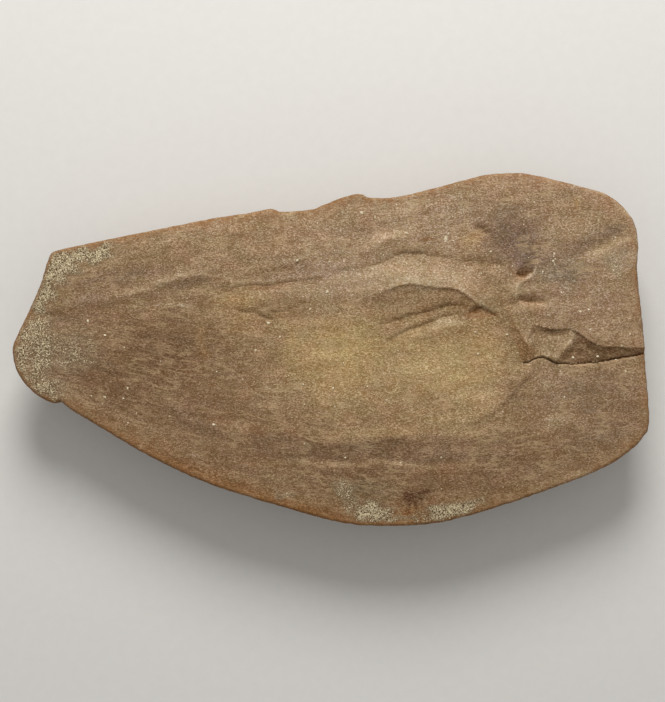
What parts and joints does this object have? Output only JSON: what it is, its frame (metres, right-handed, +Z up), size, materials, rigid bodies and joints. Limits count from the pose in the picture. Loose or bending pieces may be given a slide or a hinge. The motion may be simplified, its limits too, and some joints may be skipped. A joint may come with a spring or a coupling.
{
  "type": "split ironstone concretion fossil",
  "caption": "Half of a split ironstone concretion with the low oval impression of a soft-bodied animal on its flat face; it lies on its rounded back.",
  "frame": {"origin": "under the middle of the plan, on the surface the stone rests on", "axes": "+Z up out of the split face, +X from the rounded nose to the blunt broken end, +Y from the natural curved rim to the straight broken side"},
  "size_m": [0.15, 0.0832, 0.0191],
  "materials": {
    "ironstone": "rough, fine-grained, weathered"
  },
  "bodies": {
    "root": {"nodule_half": "ironstone"}
  },
  "joints": []
}
